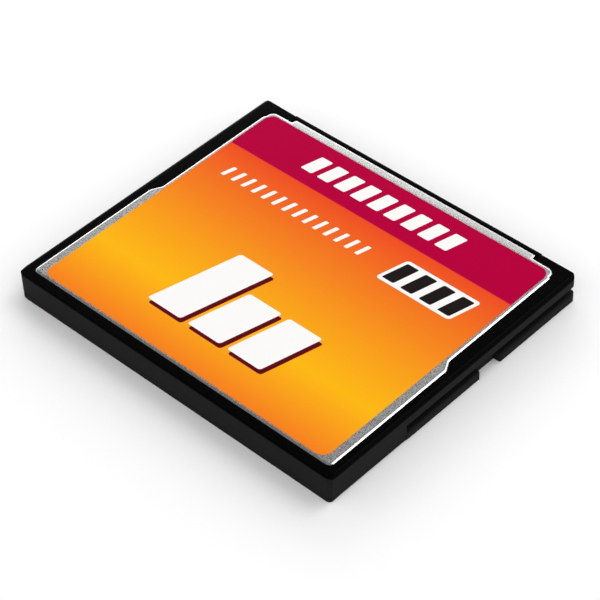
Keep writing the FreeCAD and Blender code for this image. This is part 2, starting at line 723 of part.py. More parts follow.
def clock_crystal():
    """Ceramic tray with a metal lid, behind the controller."""
    x = CONTROLLER_X
    y = CONTROLLER_Y - CONTROLLER_BODY_WIDTH / 2 - LEAD_REACH - SMALL_PART_GAP - CRYSTAL_WIDTH / 2
    half_x, half_y = CRYSTAL_LENGTH / 2, CRYSTAL_WIDTH / 2
    top = BOARD_TOP + CRYSTAL_HEIGHT
    tray = block((x - half_x, x + half_x), (y - half_y, y + half_y), (BOARD_TOP, top - CRYSTAL_LID_HEIGHT))
    half_x, half_y = half_x - CRYSTAL_LID_INSET, half_y - CRYSTAL_LID_INSET
    lid = block((x - half_x, x + half_x), (y - half_y, y + half_y), (top - CRYSTAL_LID_HEIGHT, top))
    return joined([tray, lid])


def small_row_x(place):
    """X of a place in the row of small parts between the contacts and the chips."""
    return -CHIP_ZONE_HALF + CHIP_PART_LENGTH + place * SMALL_PART_PITCH


REGULATOR_X = small_row_x(SMALL_CAPACITOR_COUNT) + SMALL_PART_PITCH / 2
BULK_CAPACITOR_X = REGULATOR_X + REGULATOR_LENGTH + BULK_CAPACITOR_WIDTH / 2


def with_bevelled_top(body, top):
    rim = [edge for edge in body.Edges if edge.BoundBox.ZMin > top - 1e-6]
    return body.makeChamfer(CHIP_DRAFT_WIDTH, rim)


def voltage_regulator():
    half_x, half_y = REGULATOR_WIDTH / 2, REGULATOR_LENGTH / 2
    z_range = (BOARD_TOP + CHIP_STANDOFF, BOARD_TOP + REGULATOR_HEIGHT)
    body = block((REGULATOR_X - half_x, REGULATOR_X + half_x),
                 (SMALL_PART_ROW_Y - half_y, SMALL_PART_ROW_Y + half_y), z_range)
    return with_bevelled_top(body, z_range[1])


def regulator_leads():
    level = BOARD_TOP + REGULATOR_HEIGHT / 2
    lead = gull_lead(level, REGULATOR_LEAD_WIDTH)
    distance = REGULATOR_WIDTH / 2
    count = REGULATOR_LEAD_COUNT
    pitch = REGULATOR_LEAD_PITCH
    leads = lead_row(lead, count, pitch, REGULATOR_X, SMALL_PART_ROW_Y, distance, 90)
    leads += lead_row(lead, count - 1, 2 * pitch, REGULATOR_X, SMALL_PART_ROW_Y, distance, -90)
    return Part.makeCompound(leads)


def bulk_capacitor():
    half_x, half_y = BULK_CAPACITOR_WIDTH / 2, BULK_CAPACITOR_LENGTH / 2
    z_range = (BOARD_TOP, BOARD_TOP + BULK_CAPACITOR_HEIGHT)
    body = block((BULK_CAPACITOR_X - half_x, BULK_CAPACITOR_X + half_x),
                 (SMALL_PART_ROW_Y - half_y, SMALL_PART_ROW_Y + half_y), z_range)
    return with_bevelled_top(body, z_range[1])


def chip_part(x, y, height):
    """A small square-ended part that stands on the board, long side along Y."""
    half_x, half_y = CHIP_PART_WIDTH / 2, CHIP_PART_LENGTH / 2
    return block((x - half_x, x + half_x), (y - half_y, y + half_y), (BOARD_TOP, BOARD_TOP + height))


def small_capacitors():
    parts = []
    for i in range(SMALL_CAPACITOR_COUNT):
        parts.append(chip_part(small_row_x(i), SMALL_PART_ROW_Y, CAPACITOR_HEIGHT))
    return Part.makeCompound(parts)


def resistors():
    first = BULK_CAPACITOR_X + BULK_CAPACITOR_WIDTH / 2 + SMALL_PART_PITCH
    parts = []
    for i in range(RESISTOR_COUNT):
        parts.append(chip_part(first + i * SMALL_PART_PITCH, SMALL_PART_ROW_Y, RESISTOR_HEIGHT))
    return Part.makeCompound(parts)


PIECES = {
    "top_frame": top_frame,
    "bottom_frame": bottom_frame,
    "top_cover": cover_plate,
    "bottom_cover": lambda: upside_down(cover_plate()),
    "front_label": front_label,
    "connector_housing": connector_housing,
    "upper_contacts": upper_contacts,
    "lower_contacts": lambda: upside_down(upper_contacts()),
    "circuit_board": circuit_board,
    "controller_chip": controller_chip,
    "controller_leads": controller_leads,
    "upper_flash_chip": upper_flash_chip,
    "upper_flash_leads": upper_flash_leads,
    "lower_flash_chip": lambda: upside_down(upper_flash_chip()),
    "lower_flash_leads": lambda: upside_down(upper_flash_leads()),
    "clock_crystal": clock_crystal,
    "voltage_regulator": voltage_regulator,
    "regulator_leads": regulator_leads,
    "bulk_capacitor": bulk_capacitor,
    "small_capacitors": small_capacitors,
    "resistors": resistors,
}

os.makedirs("parts", exist_ok=True)
for name, make in PIECES.items():
    make().exportStep(os.path.join("parts", name + ".step"))
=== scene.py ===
import math
import bpy
from mathutils import Matrix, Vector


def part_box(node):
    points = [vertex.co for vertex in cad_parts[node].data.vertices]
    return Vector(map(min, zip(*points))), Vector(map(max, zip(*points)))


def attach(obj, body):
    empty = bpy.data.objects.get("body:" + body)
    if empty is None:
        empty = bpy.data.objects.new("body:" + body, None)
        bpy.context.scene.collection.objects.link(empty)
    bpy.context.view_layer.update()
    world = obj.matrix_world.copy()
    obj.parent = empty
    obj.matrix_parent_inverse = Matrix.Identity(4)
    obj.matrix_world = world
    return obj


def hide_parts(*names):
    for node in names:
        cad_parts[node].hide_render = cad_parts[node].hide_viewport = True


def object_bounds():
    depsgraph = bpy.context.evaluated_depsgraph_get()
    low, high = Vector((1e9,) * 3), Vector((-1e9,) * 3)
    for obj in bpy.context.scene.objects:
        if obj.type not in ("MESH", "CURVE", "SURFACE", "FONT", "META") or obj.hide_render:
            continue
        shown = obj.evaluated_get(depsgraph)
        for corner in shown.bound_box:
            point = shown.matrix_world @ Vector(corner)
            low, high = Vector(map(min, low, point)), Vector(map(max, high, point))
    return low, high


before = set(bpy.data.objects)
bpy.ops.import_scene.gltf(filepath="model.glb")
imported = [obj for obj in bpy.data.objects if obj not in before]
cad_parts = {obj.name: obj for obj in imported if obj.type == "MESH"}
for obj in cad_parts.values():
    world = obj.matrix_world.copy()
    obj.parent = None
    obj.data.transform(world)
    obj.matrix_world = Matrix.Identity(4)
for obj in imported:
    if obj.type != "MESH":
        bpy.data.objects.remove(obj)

# Compact flash card seen from above its rear right corner.
# Lengths are in millimetres, and a finished piece is brought to metres.
# Light, floor and camera are placed in metres.
MM = 0.001
CAD_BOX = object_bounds()

# Tolerance of a place, and the angles that tell flat, smooth and sharp faces apart
NEARLY = 0.001
FLAT_ANGLE = 0.5
SMOOTH_ANGLE = 30
SHARP_ANGLE = 35

# Camera, from the photograph's perspective
CAMERA_PLACE = (0.11867, -0.11803, 0.15827)
CAMERA_TURN = (46.471, 2.038, 43.1)
CAMERA_LENS = 137.3
SENSOR_WIDTH = 36.0
NEAREST_SEEN = 0.01

# Surroundings: the direction that is dim, where the dimming starts and ends, and how dim it is
DIM_DIRECTION = (-0.27, 0.1, 0.958)
DIM_RANGE = (0.735, 0.808)
SKY_TONES = (1.0, 0.15)
SKY_STRENGTH = 1.24

# Two lights: place, width, height and power
HIGH_SOFTBOX = ((0.065, 0.31, 0.51), 0.26, 0.3, 0.75)
LOW_SOFTBOX = ((-0.42, 0.41, 0.21), 0.5, 0.22, 0.95)

# Pressed cover: heights, half widths and lines across it, from the card's middle
CARD_THICKNESS = 3.3
COVER_TOP = 3.25
COVER_UNDERSIDE = 3.0
COVER_SIDE = 20.27
COVER_REAR = -16.93
COVER_FRONT = 17.71
COVER_GUIDE = 19.62
COVER_SHOULDER = 17.12
COVER_RAMP = (-0.55, 0.65)
COVER_NICK = (15.9, 16.1)
COVER_NICK_DEPTH = 0.2
TONGUE_HALF = 16.5
TONGUE_TIP_HALF = 16.38
TONGUE_BEND = 16.8
TONGUE_FALLS_FROM = 16.9
TONGUE_DROP = 0.025
TONGUE_RIM_TAKEN = 0.03

# Rounds of the cover's outline
COVER_CORNER = 0.6
COVER_CORNER_STEPS = 6
SHOULDER_ROUND = 0.85
SHOULDER_STEPS = 9
RAMP_ROUND = 0.2
RAMP_STEPS = 3

# Crowned rim of the cover: width and rise of each step, how far it reaches, and how much a face
# may look up or down and still have the rim's finish
RIM_STEPS = [(0.03, 0.05), (0.07, 0.036), (0.09, 0.028), (0.09, 0.012)]
RIM_REACH = 0.5
RIM_FACING = 0.998

# Label on the upper cover
LABEL_CORNER = 1.1
LABEL_CORNER_STEPS = 10
LABEL_EDGE = 0.03
LABEL_REACH = 17.0
BAND_REAR_EDGE = 10.45
BAND_BLEND = 0.02

# Ink on the label: its thickness, the lean of its bars and their rounds
INK = 0.006
SLANT = 0.25
PRINT_ROUND = 0.18
PRINT_ROUND_STEPS = 5
TICK_ROUND = 0.12
PATCH_ROUND = 0.4
PATCH_MARGIN = 0.4
STEP_ROUND = 0.3
SHADOW_SHIFT = (0.5, -0.45)

# Bars of ink, each as x, y, width and height
BAND_BARS = [(-10.7 + 2.3 * i, 12.2, 1.55, 2.7) for i in range(9)]
THIN_TICKS = [(-16.4 + 1.45 * i, 6.0, 0.5, 1.7) for i in range(14)]
WHITE_PATCH = [(6.9, 5.2, 8.7, 3.1)]
BLACK_BARS = [(6.9 + 2.4 * i, 5.2, 1.5, 3.1) for i in range(4)]
STEP_BARS = [(-8.6, -12.2, 4.6, 10.6), (-3.0, -12.2, 4.4, 7.0), (2.4, -12.2, 4.4, 7.0)]

# Frame halves: easing of the sharp edges, and the length over which a lower edge is eased
MOULDED_EDGE = 0.04
MOULDED_EDGE_STEPS = 2
SHORTEST_LOWER_EDGE = 3

# Rear corners of the frame: its side, the solid's round and the two that the photograph shows
FRAME_SIDE = 21.4
FRAME_CORNER = 0.75
LEFT_CORNER = 1.15
RIGHT_CORNER = 0.5

# Left front corner of the frame, which is brought level with the connector block
FRAME_FRONT = 18.1
FRONT_FROM = 17.3
BLOCK_FACE = 18.2
BLOCK_HALF = 17.9

# Right side of the lower half behind the groove, which is brought out to the rail
WIDENED_FROM = 20.5
WIDENED_SIDE = 21.34
LOWER_SIDE = 21.25
LOWER_ROUND = 0.3
FLATTER_ROUND = 0.15
GROOVE_END = -7.57
RAIL_BEND_SIDE = 21.2
RAIL_BEND_TOP = 0.1

# Polished top of the frame, darker in tone than its sides as painted shade: faces that look up
# enough and lie high enough
POLISHED_SHADED_FACING = 0.2
POLISHED_SHADED_FROM = 2.7

# Share of the noise's range over which a surface goes from one tone to the other
TONE_RANGE = (0.35, 0.65)

# Grain of the surfaces, depth and strength of their relief, and spread of their roughness
PLASTIC_GRAIN = 0.12
PLASTIC_RELIEF = (0.01, 0.25)
PLASTIC_SPREAD = (-0.05, 0.05)
PLASTIC_TONES = (0.75, 1.25)
PLASTIC_GREEN = 1.1
STEEL_RELIEF = (0.02, 0.035)
STEEL_SPREAD = (-0.04, 0.08)
STEEL_DETAIL = 4
RUBBED_GRAIN = 0.3
RUBBED_SPREAD = (0.0, 0.1)
MOTTLE_RELIEF = (0.01, 0.1)
PRINT_GRAIN = 0.6
LABEL_RELIEF = (0.01, 0.05)
LABEL_GLOSS = 0.025
LABEL_ROUGHNESS = 0.2
INK_GLOSS = 0.05
INK_ROUGHNESS = 0.18
INK_SPREAD = (0.0, 0.06)

# Share of the light that the inks send back, next to the colour on a screen
PRINT_DENSITY = 0.94

# Floor under the card
FLOOR_WIDTH = 6
FLOOR_TONE = 0.97
FLOOR_ROUGHNESS = 0.9
FLOOR_GLOSS = 0.1


def choose_only(piece):
    bpy.ops.object.select_all(action="DESELECT")
    piece.select_set(True)
    bpy.context.view_layer.objects.active = piece


def pick(piece, kind, test):
    """Selects the corners, edges or faces whose place passes a test, and stays in edit mode."""
    bpy.ops.object.mode_set(mode="EDIT")
    bpy.ops.mesh.select_mode(type=kind)
    bpy.ops.mesh.select_all(action="DESELECT")
    bpy.ops.object.mode_set(mode="OBJECT")
    corners = piece.data.vertices
    if kind == "VERT":
        for corner in corners:
            corner.select = test(corner.co)
    elif kind == "EDGE":
        for edge in piece.data.edges:
            edge.select = all(test(corners[i].co) for i in edge.vertices)
    else:
        for face in piece.data.polygons:
            face.select = test(face.center)
    bpy.ops.object.mode_set(mode="EDIT")


def flat_sheet(name, x_range, y_range, height):
    """A flat rectangle to be shaped further, in millimetres."""
    middle = (sum(x_range) / 2, sum(y_range) / 2, height)
    bpy.ops.object.select_all(action="DESELECT")
    bpy.ops.mesh.primitive_plane_add(size=1, location=middle)
    piece = bpy.context.active_object
    piece.name = name
    piece.data.name = name
    piece.scale = (x_range[1] - x_range[0], y_range[1] - y_range[0], 1)
    bpy.ops.object.transform_apply(location=True, rotation=True, scale=True)
    return piece


def cut_across(place, direction):
    bpy.ops.mesh.select_all(action="SELECT")
    bpy.ops.mesh.bisect(plane_co=place, plane_no=direction)


def merge_flat_faces():
    bpy.ops.object.mode_set(mode="EDIT")
    bpy.ops.mesh.select_all(action="SELECT")
    bpy.ops.mesh.dissolve_limited(angle_limit=math.radians(FLAT_ANGLE))


def move_all(way):
    bpy.ops.mesh.select_all(action="SELECT")
    bpy.ops.transform.translate(value=way)


def widen_beyond(piece, y, factor):
    """Scales the width of everything on the connector side of a line."""
    pick(piece, "VERT", lambda place: place.y > y - NEARLY)
    bpy.ops.transform.resize(value=(factor, 1, 1), center_override=(0, 0, 0))


def round_corners(piece, test, reach, steps):
    pick(piece, "VERT", test)
    bpy.ops.mesh.bevel(offset=reach, segments=steps, affect="VERTICES")


def thicken(depth):
    """Draws the flat outline in edit mode down into a closed plate."""
    bpy.ops.mesh.select_all(action="SELECT")
    bpy.ops.mesh.extrude_region_move(TRANSFORM_OT_translate={"value": (0, 0, -depth)})
    bpy.ops.mesh.select_all(action="SELECT")
    bpy.ops.mesh.normals_make_consistent(inside=False)


def raise_crown(piece, height, steps):
    """Insets the top face again and again and lifts it each time, which leaves a rounded rim."""
    pick(piece, "FACE", lambda place: place.z > height - NEARLY)
    for width, rise in steps:
        bpy.ops.mesh.inset(thickness=width, use_even_offset=True)
        bpy.ops.transform.translate(value=(0, 0, rise))


def settle(piece, finish):
    """Brings a finished piece to metres and dresses it."""
    bpy.ops.object.mode_set(mode="OBJECT")
    piece.data.transform(Matrix.Scale(MM, 4))
    dress(piece, finish, SMOOTH_ANGLE)


def dress(piece, finish, smooth_angle):
    """Gives a piece in metres its shading, its finish and the body that it rides on."""
    choose_only(piece)
    bpy.ops.object.shade_smooth_by_angle(angle=math.radians(smooth_angle))
    piece.modifiers.new("even_shading", "WEIGHTED_NORMAL").keep_sharp = True
    for modifier in list(piece.modifiers):
        bpy.ops.object.modifier_apply(modifier=modifier.name)
    piece.data.materials.clear()
    piece.data.materials.append(finish)
    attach(piece, "root")


def second_finish(piece, finish, test):
    """Gives the faces that pass a test another finish."""
    piece.data.materials.append(finish)
    for face in piece.data.polygons:
        if test(face):
            face.material_index = 1


def new_finish(name):
    finish = bpy.data.materials.new(name)
    finish.use_nodes = True
    nodes = finish.node_tree.nodes
    return finish, nodes, finish.node_tree.links, nodes["Principled BSDF"]


def fine_noise(nodes, links, grain, detail=2):
    """Noise on the piece's own coordinates, grain being its size in millimetres."""
    place = nodes.new("ShaderNodeTexCoord")
    noise = nodes.new("ShaderNodeTexNoise")
    noise.inputs["Scale"].default_value = 1 / (grain * MM)
    noise.inputs["Detail"].default_value = detail
    links.new(place.outputs["Object"], noise.inputs["Vector"])
    return noise


def add_bump(nodes, links, shader, noise, relief):
    depth, strength = relief
    bump = nodes.new("ShaderNodeBump")
    bump.inputs["Distance"].default_value = depth * MM
    bump.inputs["Strength"].default_value = strength
    links.new(noise.outputs["Fac"], bump.inputs["Height"])
    links.new(bump.outputs["Normal"], shader.inputs["Normal"])


def ramp_between(nodes, stops, low, high):
    """A colour ramp with one colour up to the first stop and another from the second."""
    ramp = nodes.new("ShaderNodeValToRGB")
    for element, position, colour in zip(ramp.color_ramp.elements, stops, (low, high)):
        element.position = position
        element.color = colour
    return ramp


def two_tones(nodes, links, noise, low, high, socket):
    """Drives a colour or number of the shader between two values by the noise."""
    ramp = ramp_between(nodes, TONE_RANGE, low, high)
    links.new(noise.outputs["Fac"], ramp.inputs["Fac"])
    links.new(ramp.outputs["Color"], socket)


def grey(value):
    return (value, value, value, 1)


def vary_roughness(nodes, links, shader, noise, roughness, spread):
    """Drives the roughness by the noise, between what the spread adds at its two ends."""
    low, high = (grey(roughness + amount) for amount in spread)
    two_tones(nodes, links, noise, low, high, shader.inputs["Roughness"])


def moulded_plastic(name, tone, gloss, roughness):
    """Black plastic with the fine grain of its mould, a little green in its tone."""
    finish, nodes, links, shader = new_finish(name)
    shader.inputs["Specular IOR Level"].default_value = gloss
    grain = fine_noise(nodes, links, PLASTIC_GRAIN)
    low, high = [(tone * share, tone * share * PLASTIC_GREEN, tone * share, 1)
                 for share in PLASTIC_TONES]
    two_tones(nodes, links, grain, low, high, shader.inputs["Base Color"])
    vary_roughness(nodes, links, shader, grain, roughness, PLASTIC_SPREAD)
    add_bump(nodes, links, shader, grain, PLASTIC_RELIEF)
    return finish


def sheet_metal(name, low, high, roughness, grain_size):
    """Plain metal with a fine blasted grain."""
    finish, nodes, links, shader = new_finish(name)
    shader.inputs["Metallic"].default_value = 1.0
    grain = fine_noise(nodes, links, grain_size, STEEL_DETAIL)
    two_tones(nodes, links, grain, low, high, shader.inputs["Base Color"])
    vary_roughness(nodes, links, shader, grain, roughness, STEEL_SPREAD)
    add_bump(nodes, links, shader, grain, STEEL_RELIEF)
    return finish


def smooth_metal(name, colour, roughness):
    """Metal of one colour, a little rubbed."""
    finish, nodes, links, shader = new_finish(name)
    shader.inputs["Metallic"].default_value = 1.0
    shader.inputs["Base Color"].default_value = colour
    grain = fine_noise(nodes, links, RUBBED_GRAIN)
    vary_roughness(nodes, links, shader, grain, roughness, RUBBED_SPREAD)
    return finish


def mottled(name, low, high, roughness, grain_size):
    """A dull surface in two near tones, for the pieces on the board."""
    finish, nodes, links, shader = new_finish(name)
    shader.inputs["Roughness"].default_value = roughness
    grain = fine_noise(nodes, links, grain_size)
    two_tones(nodes, links, grain, low, high, shader.inputs["Base Color"])
    add_bump(nodes, links, shader, grain, MOTTLE_RELIEF)
    return finish


def srgb(red, green, blue):
    """A printed colour, given as seen on a screen."""
    parts = []
    for value in (red, green, blue):
        share = value / 255
        linear = share / 12.92 if share <= 0.04045 else ((share + 0.055) / 1.055) ** 2.4
        parts.append(linear * PRINT_DENSITY)
    return (*parts, 1)


# Orange, yellow, orange and red along the label, from its rear edge to the crimson band, each
# with its line from the card's middle
LABEL_COLOURS = [
    (-16.5, srgb(247, 128, 32)),
    (-9.2, srgb(254, 185, 21)),
    (2.1, srgb(245, 130, 32)),
    (10.4, srgb(238, 77, 35)),
]
BAND_COLOUR = srgb(181, 0, 60)


def label_share(y):
    """A line across the label, as a share of the length that its colours run over."""
    return (y + LABEL_REACH) / (2 * LABEL_REACH)


def printed_label():
    """Orange print that turns yellow across its middle, below a plain crimson band."""
    finish, nodes, links, shader = new_finish("printed_label")
    shader.inputs["Roughness"].default_value = LABEL_ROUGHNESS
    shader.inputs["Specular IOR Level"].default_value = LABEL_GLOSS
    place = nodes.new("ShaderNodeTexCoord")
    parts = nodes.new("ShaderNodeSeparateXYZ")
    share = nodes.new("ShaderNodeMapRange")
    share.inputs["From Min"].default_value = -LABEL_REACH * MM
    share.inputs["From Max"].default_value = LABEL_REACH * MM
    rear_line, rear_colour = LABEL_COLOURS[0]
    stops = (label_share(rear_line), label_share(BAND_REAR_EDGE + BAND_BLEND))
    ramp = ramp_between(nodes, stops, rear_colour, BAND_COLOUR)
    for y, colour in LABEL_COLOURS[1:]:
        ramp.color_ramp.elements.new(label_share(y)).color = colour
    links.new(place.outputs["Object"], parts.inputs["Vector"])
    links.new(parts.outputs["Y"], share.inputs["Value"])
    links.new(share.outputs["Result"], ramp.inputs["Fac"])
    links.new(ramp.outputs["Color"], shader.inputs["Base Color"])
    add_bump(nodes, links, shader, fine_noise(nodes, links, PRINT_GRAIN), LABEL_RELIEF)
    return finish


def ink(name, colour):
    finish, nodes, links, shader = new_finish(name)
    shader.inputs["Base Color"].default_value = colour
    shader.inputs["Specular IOR Level"].default_value = INK_GLOSS
    film = fine_noise(nodes, links, PRINT_GRAIN)
    vary_roughness(nodes, links, shader, film, INK_ROUGHNESS, INK_SPREAD)
    return finish


# The frame's black plastic comes in two tones: the near-black top is painted shade, and the lighter
# matt sides are painted light.
SHADED_BLACK_PLASTIC = moulded_plastic("black_plastic", tone=0.0006, gloss=0.02, roughness=0.27)
MATT_LIT_SIDE_PLASTIC = moulded_plastic("matt_plastic_painted_light", tone=0.0092, gloss=0.02, roughness=0.45)
SOCKET_PLASTIC = moulded_plastic("socket_plastic", tone=0.0012, gloss=0.022, roughness=0.28)
STEEL = sheet_metal("cover_steel", grey(0.46), grey(0.6), roughness=0.27, grain_size=0.1)
SMOOTH_STEEL = smooth_metal("rim_steel", grey(0.66), roughness=0.18)
GOLD = smooth_metal("gold_flashing", (0.83, 0.6, 0.24, 1), roughness=0.2)
TIN = smooth_metal("tinned_metal", (0.72, 0.72, 0.7, 1), roughness=0.3)
PACKAGE = mottled("chip_package", grey(0.02), grey(0.035), roughness=0.6, grain_size=0.15)
LAMINATE = mottled("board_laminate", (0.012, 0.12, 0.04, 1), (0.02, 0.17, 0.06, 1),
                   roughness=0.35, grain_size=0.5)
CERAMIC = mottled("fired_ceramic", (0.42, 0.34, 0.23, 1), (0.52, 0.44, 0.31, 1),
                  roughness=0.5, grain_size=0.1)
TANTALUM = mottled("capacitor_case", (0.7, 0.43, 0.06, 1), (0.78, 0.5, 0.09, 1),
                   roughness=0.5, grain_size=0.2)
PRINTED_LABEL = printed_label()
WHITE_INK = ink("white_ink", srgb(252, 250, 248))
BLACK_INK = ink("black_ink", srgb(30, 24, 24))
SHADOW_INK = ink("dark_red_ink", srgb(96, 8, 22))

NODE_FINISHES = {
    "connector_housing": SOCKET_PLASTIC,
    "upper_contacts": GOLD,
    "lower_contacts": GOLD,
    "circuit_board": LAMINATE,
    "controller_chip": PACKAGE,
    "controller_leads": TIN,
    "upper_flash_chip": PACKAGE,
    "upper_flash_leads": TIN,
    "lower_flash_chip": PACKAGE,
    "lower_flash_leads": TIN,
    "clock_crystal": CERAMIC,
    "voltage_regulator": PACKAGE,
    "regulator_leads": TIN,
    "bulk_capacitor": TANTALUM,
    "small_capacitors": CERAMIC,
    "resistors": PACKAGE,
}


def finish_nodes():
    """Gives the solids that stay as they are their materials."""
    for name, finish in NODE_FINISHES.items():
        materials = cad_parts[name].data.materials
        materials.clear()
        materials.append(finish)


def trim_to(piece, node):
    """Brings corners that a bevel pushed past the solid's own box back to its sides."""
    low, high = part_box(node)
    for corner in piece.data.vertices:
        corner.co = [min(max(value, least), most)
                     for value, least, most in zip(corner.co, low, high)]


def blunt_left_corner(piece):
    """Gives the frame's rear left corner its larger round, by drawing in what stands outside it."""
    low = CAD_BOX[0]
    reach = LEFT_CORNER * MM
    middle_x = low[0] + reach
    middle_y = low[1] + reach
    cut_across((middle_x, 0, 0), (1, 0, 0))
    cut_across((0, middle_y, 0), (0, 1, 0))
    bpy.ops.object.mode_set(mode="OBJECT")
    for corner in piece.data.vertices:
        x, y = corner.co.x - middle_x, corner.co.y - middle_y
        if x < 0 and y < 0 and math.hypot(x, y) > reach:
            share = reach / math.hypot(x, y)
            corner.co.x = middle_x + x * share
            corner.co.y = middle_y + y * share
    bpy.ops.object.mode_set(mode="EDIT")


def widen_right_side(piece):
    """Brings the lower half's right side, behind the groove, out to the guide rail's.

    The round below it becomes flatter, and the rail itself stays as it is.
    """
    bpy.ops.object.mode_set(mode="OBJECT")
    stretch = (WIDENED_SIDE - WIDENED_FROM) / (LOWER_SIDE - WIDENED_FROM)
    for corner in piece.data.vertices:
        x, y, z = (value / MM for value in corner.co)
        on_rail = x > LOWER_SIDE + NEARLY or (x > RAIL_BEND_SIDE and z < RAIL_BEND_TOP)
        if x > WIDENED_FROM and y < GROOVE_END and not on_rail:
            corner.co.x = (WIDENED_FROM + (x - WIDENED_FROM) * stretch) * MM
            if z < LOWER_ROUND + NEARLY:
                corner.co.z = z * FLATTER_ROUND / LOWER_ROUND * MM
    bpy.ops.object.mode_set(mode="EDIT")


def sharpen_right_corner(piece, middle_x, side):
    """Gives the frame's rear right corner its smaller round, by pushing the solid's arc out.

    Places are taken as shares of the solid's round, where its side and its rear are at 1.
    """
    middle_y = CAD_BOX[0][1] / MM + FRAME_CORNER
    round_share = RIGHT_CORNER / FRAME_CORNER
    flat_share = 1 - round_share
    bpy.ops.object.mode_set(mode="OBJECT")
    for corner in piece.data.vertices:
        out = (corner.co.x / MM - middle_x) / (side - middle_x)
        back = (middle_y - corner.co.y / MM) / FRAME_CORNER
        if out > 0 and back > 0:
            length = math.hypot(out, back)
            less, more = sorted((out / length, back / length))
            reach = 1 / more
            if less > flat_share * more:
                along = flat_share * (less + more)
                reach = along + math.sqrt(along**2 - 2 * flat_share**2 + round_share**2)
            corner.co.x = (middle_x + out * reach * (side - middle_x)) * MM
            corner.co.y = (middle_y - back * reach * FRAME_CORNER) * MM
    bpy.ops.object.mode_set(mode="EDIT")


def bring_left_front_out(piece):
    """Brings the frame's left front corner level with the connector block's face."""
    stretch = (BLOCK_FACE - FRONT_FROM) / (FRAME_FRONT - FRONT_FROM)
    for corner in piece.data.vertices:
        y = corner.co.y / MM
        if corner.co.x < -BLOCK_HALF * MM and y > FRONT_FROM:
            corner.co.y = (FRONT_FROM + (y - FRONT_FROM) * stretch) * MM


def is_matt_lit_side(face):
    """Whether a face of the frame lies beside or below its polished top, where it takes a lighter
    tone as painted light.
    """
    return face.normal.z < POLISHED_SHADED_FACING or face.center.z < POLISHED_SHADED_FROM * MM


def moulded_half(name, node, lower):
    """One half of the black frame: the solid's form with its sharp edges eased.

    The corners follow the photograph, and the sides are matt below the polished top, with a lighter
    tone as painted light, while the top's darker tone is painted shade. In the lower half the short
    edges stay sharp.
    """
    piece = bpy.data.objects.new(name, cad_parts[node].data.copy())
    bpy.context.scene.collection.objects.link(piece)
    choose_only(piece)
    bpy.ops.object.mode_set(mode="EDIT")
    bpy.ops.mesh.select_all(action="SELECT")
    bpy.ops.mesh.remove_doubles(threshold=NEARLY * MM)
    blunt_left_corner(piece)
    if lower:
        widen_right_side(piece)
        sharpen_right_corner(piece, WIDENED_FROM, WIDENED_SIDE)
    else:
        sharpen_right_corner(piece, FRAME_SIDE - FRAME_CORNER, FRAME_SIDE)
        merge_flat_faces()
    shortest = SHORTEST_LOWER_EDGE if lower else 0
    bpy.ops.mesh.select_mode(type="EDGE")
    bpy.ops.mesh.select_all(action="DESELECT")
    bpy.ops.mesh.edges_select_sharp(sharpness=math.radians(SHARP_ANGLE))
    bpy.ops.object.mode_set(mode="OBJECT")
    corners = piece.data.vertices
    for edge in piece.data.edges:
        first, last = (corners[i].co for i in edge.vertices)
        edge.select = edge.select and (last - first).length > shortest * MM
    bpy.ops.object.mode_set(mode="EDIT")
    bpy.ops.mesh.bevel(offset=MOULDED_EDGE * MM, segments=MOULDED_EDGE_STEPS, affect="EDGES",
                       clamp_overlap=False)
    merge_flat_faces()
    bpy.ops.object.mode_set(mode="OBJECT")
    trim_to(piece, node)
    bring_left_front_out(piece)
    dress(piece, SHADED_BLACK_PLASTIC, SHARP_ANGLE)
    # The sides take the lighter tone as painted light, and the top keeps the darker one as painted
    # shade.
    second_finish(piece, MATT_LIT_SIDE_PLASTIC, is_matt_lit_side)
    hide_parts(node)


def cover_sheet(name):
    """A cover's flat outline: wide behind, narrower between the grooves, a tongue in front."""
    piece = flat_sheet(name, (-COVER_SIDE, COVER_SIDE), (COVER_REAR, COVER_FRONT), COVER_UNDERSIDE)
    bpy.ops.object.mode_set(mode="EDIT")
    for y in COVER_RAMP + COVER_NICK + (COVER_SHOULDER,):
        cut_across((0, y, 0), (0, 1, 0))
    nick_half = COVER_GUIDE - COVER_NICK_DEPTH
    widen_beyond(piece, COVER_RAMP[1], COVER_GUIDE / COVER_SIDE)
    widen_beyond(piece, COVER_NICK[1], nick_half / COVER_GUIDE)
    for side in (-TONGUE_HALF, TONGUE_HALF):
        cut_across((side, 0, 0), (1, 0, 0))
    pick(piece, "FACE", lambda place: place.y > COVER_SHOULDER and abs(place.x) > TONGUE_HALF)
    bpy.ops.mesh.delete(type="FACE")
    merge_flat_faces()
    widen_beyond(piece, COVER_FRONT, TONGUE_TIP_HALF / TONGUE_HALF)
    rear, side, front = COVER_REAR + NEARLY, nick_half - NEARLY, COVER_SHOULDER - NEARLY
    round_corners(piece, lambda place: place.y < rear, COVER_CORNER, COVER_CORNER_STEPS)
    round_corners(piece, lambda place: abs(place.x) > side and place.y > front,
                  SHOULDER_ROUND, SHOULDER_STEPS)
    return piece


def ease_ramps(piece):
    """Rounds the bends where the cover narrows, through its whole crowned rim."""
    for half, y in ((COVER_SIDE, COVER_RAMP[0]), (COVER_GUIDE, COVER_RAMP[1])):
        pick(piece, "EDGE",
             lambda place: math.hypot(abs(place.x) - half, place.y - y) < RIM_REACH)
        bpy.ops.mesh.bevel(offset=RAMP_ROUND, segments=RAMP_STEPS, affect="EDGES")


def bend_tongue(piece):
    """Lets the front of the plate fall a little towards its tongue's edge."""
    pick(piece, "FACE", lambda place: place.z > COVER_TOP - NEARLY)
    bpy.ops.mesh.bisect(plane_co=(0, TONGUE_BEND, 0), plane_no=(0, 1, 0))
    lowest = COVER_TOP - TONGUE_RIM_TAKEN
    pick(piece, "VERT", lambda place: place.y > TONGUE_FALLS_FROM and place.z > lowest)
    bpy.ops.transform.translate(value=(0, 0, -TONGUE_DROP))


